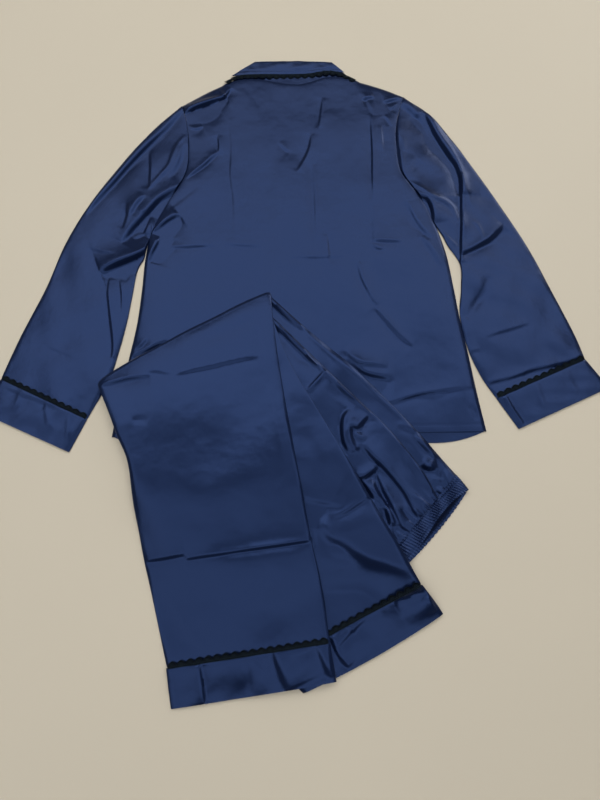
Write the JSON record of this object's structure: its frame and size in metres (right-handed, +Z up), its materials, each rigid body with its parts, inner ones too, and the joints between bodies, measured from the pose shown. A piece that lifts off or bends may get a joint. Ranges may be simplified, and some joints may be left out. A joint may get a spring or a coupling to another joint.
{
  "type": "pyjama set",
  "caption": "Satin pyjama set laid flat: a long-sleeved jacket face down, and trousers folded up over its hem, with dark lace trim at collar, cuffs and trouser hems.",
  "frame": {"origin": "bottom centre of the set's bounding box, on the surface that it lies on", "axes": "+Z up from the surface, +Y towards the jacket's collar, +X towards the jacket's right sleeve as it lies face down"},
  "size_m": [0.987, 1.091, 0.0193],
  "materials": {
    "satin": "navy satin, soft sheen",
    "lace": "black lace, matte"
  },
  "bodies": {
    "root": {"jacket_back": "satin", "jacket_front_left": "satin", "jacket_front_right": "satin", "sleeve_left": "satin", "sleeve_right": "satin", "cuff_left": "satin", "cuff_right": "satin", "collar": "satin", "leg_outer": "satin", "leg_inner": "satin", "hem_band_outer": "satin", "hem_band_inner": "satin", "waist_casing": "satin", "collar_lace": "lace", "cuff_lace_left": "lace", "cuff_lace_right": "lace", "hem_lace_outer": "lace", "hem_lace_inner": "lace"}
  },
  "joints": []
}
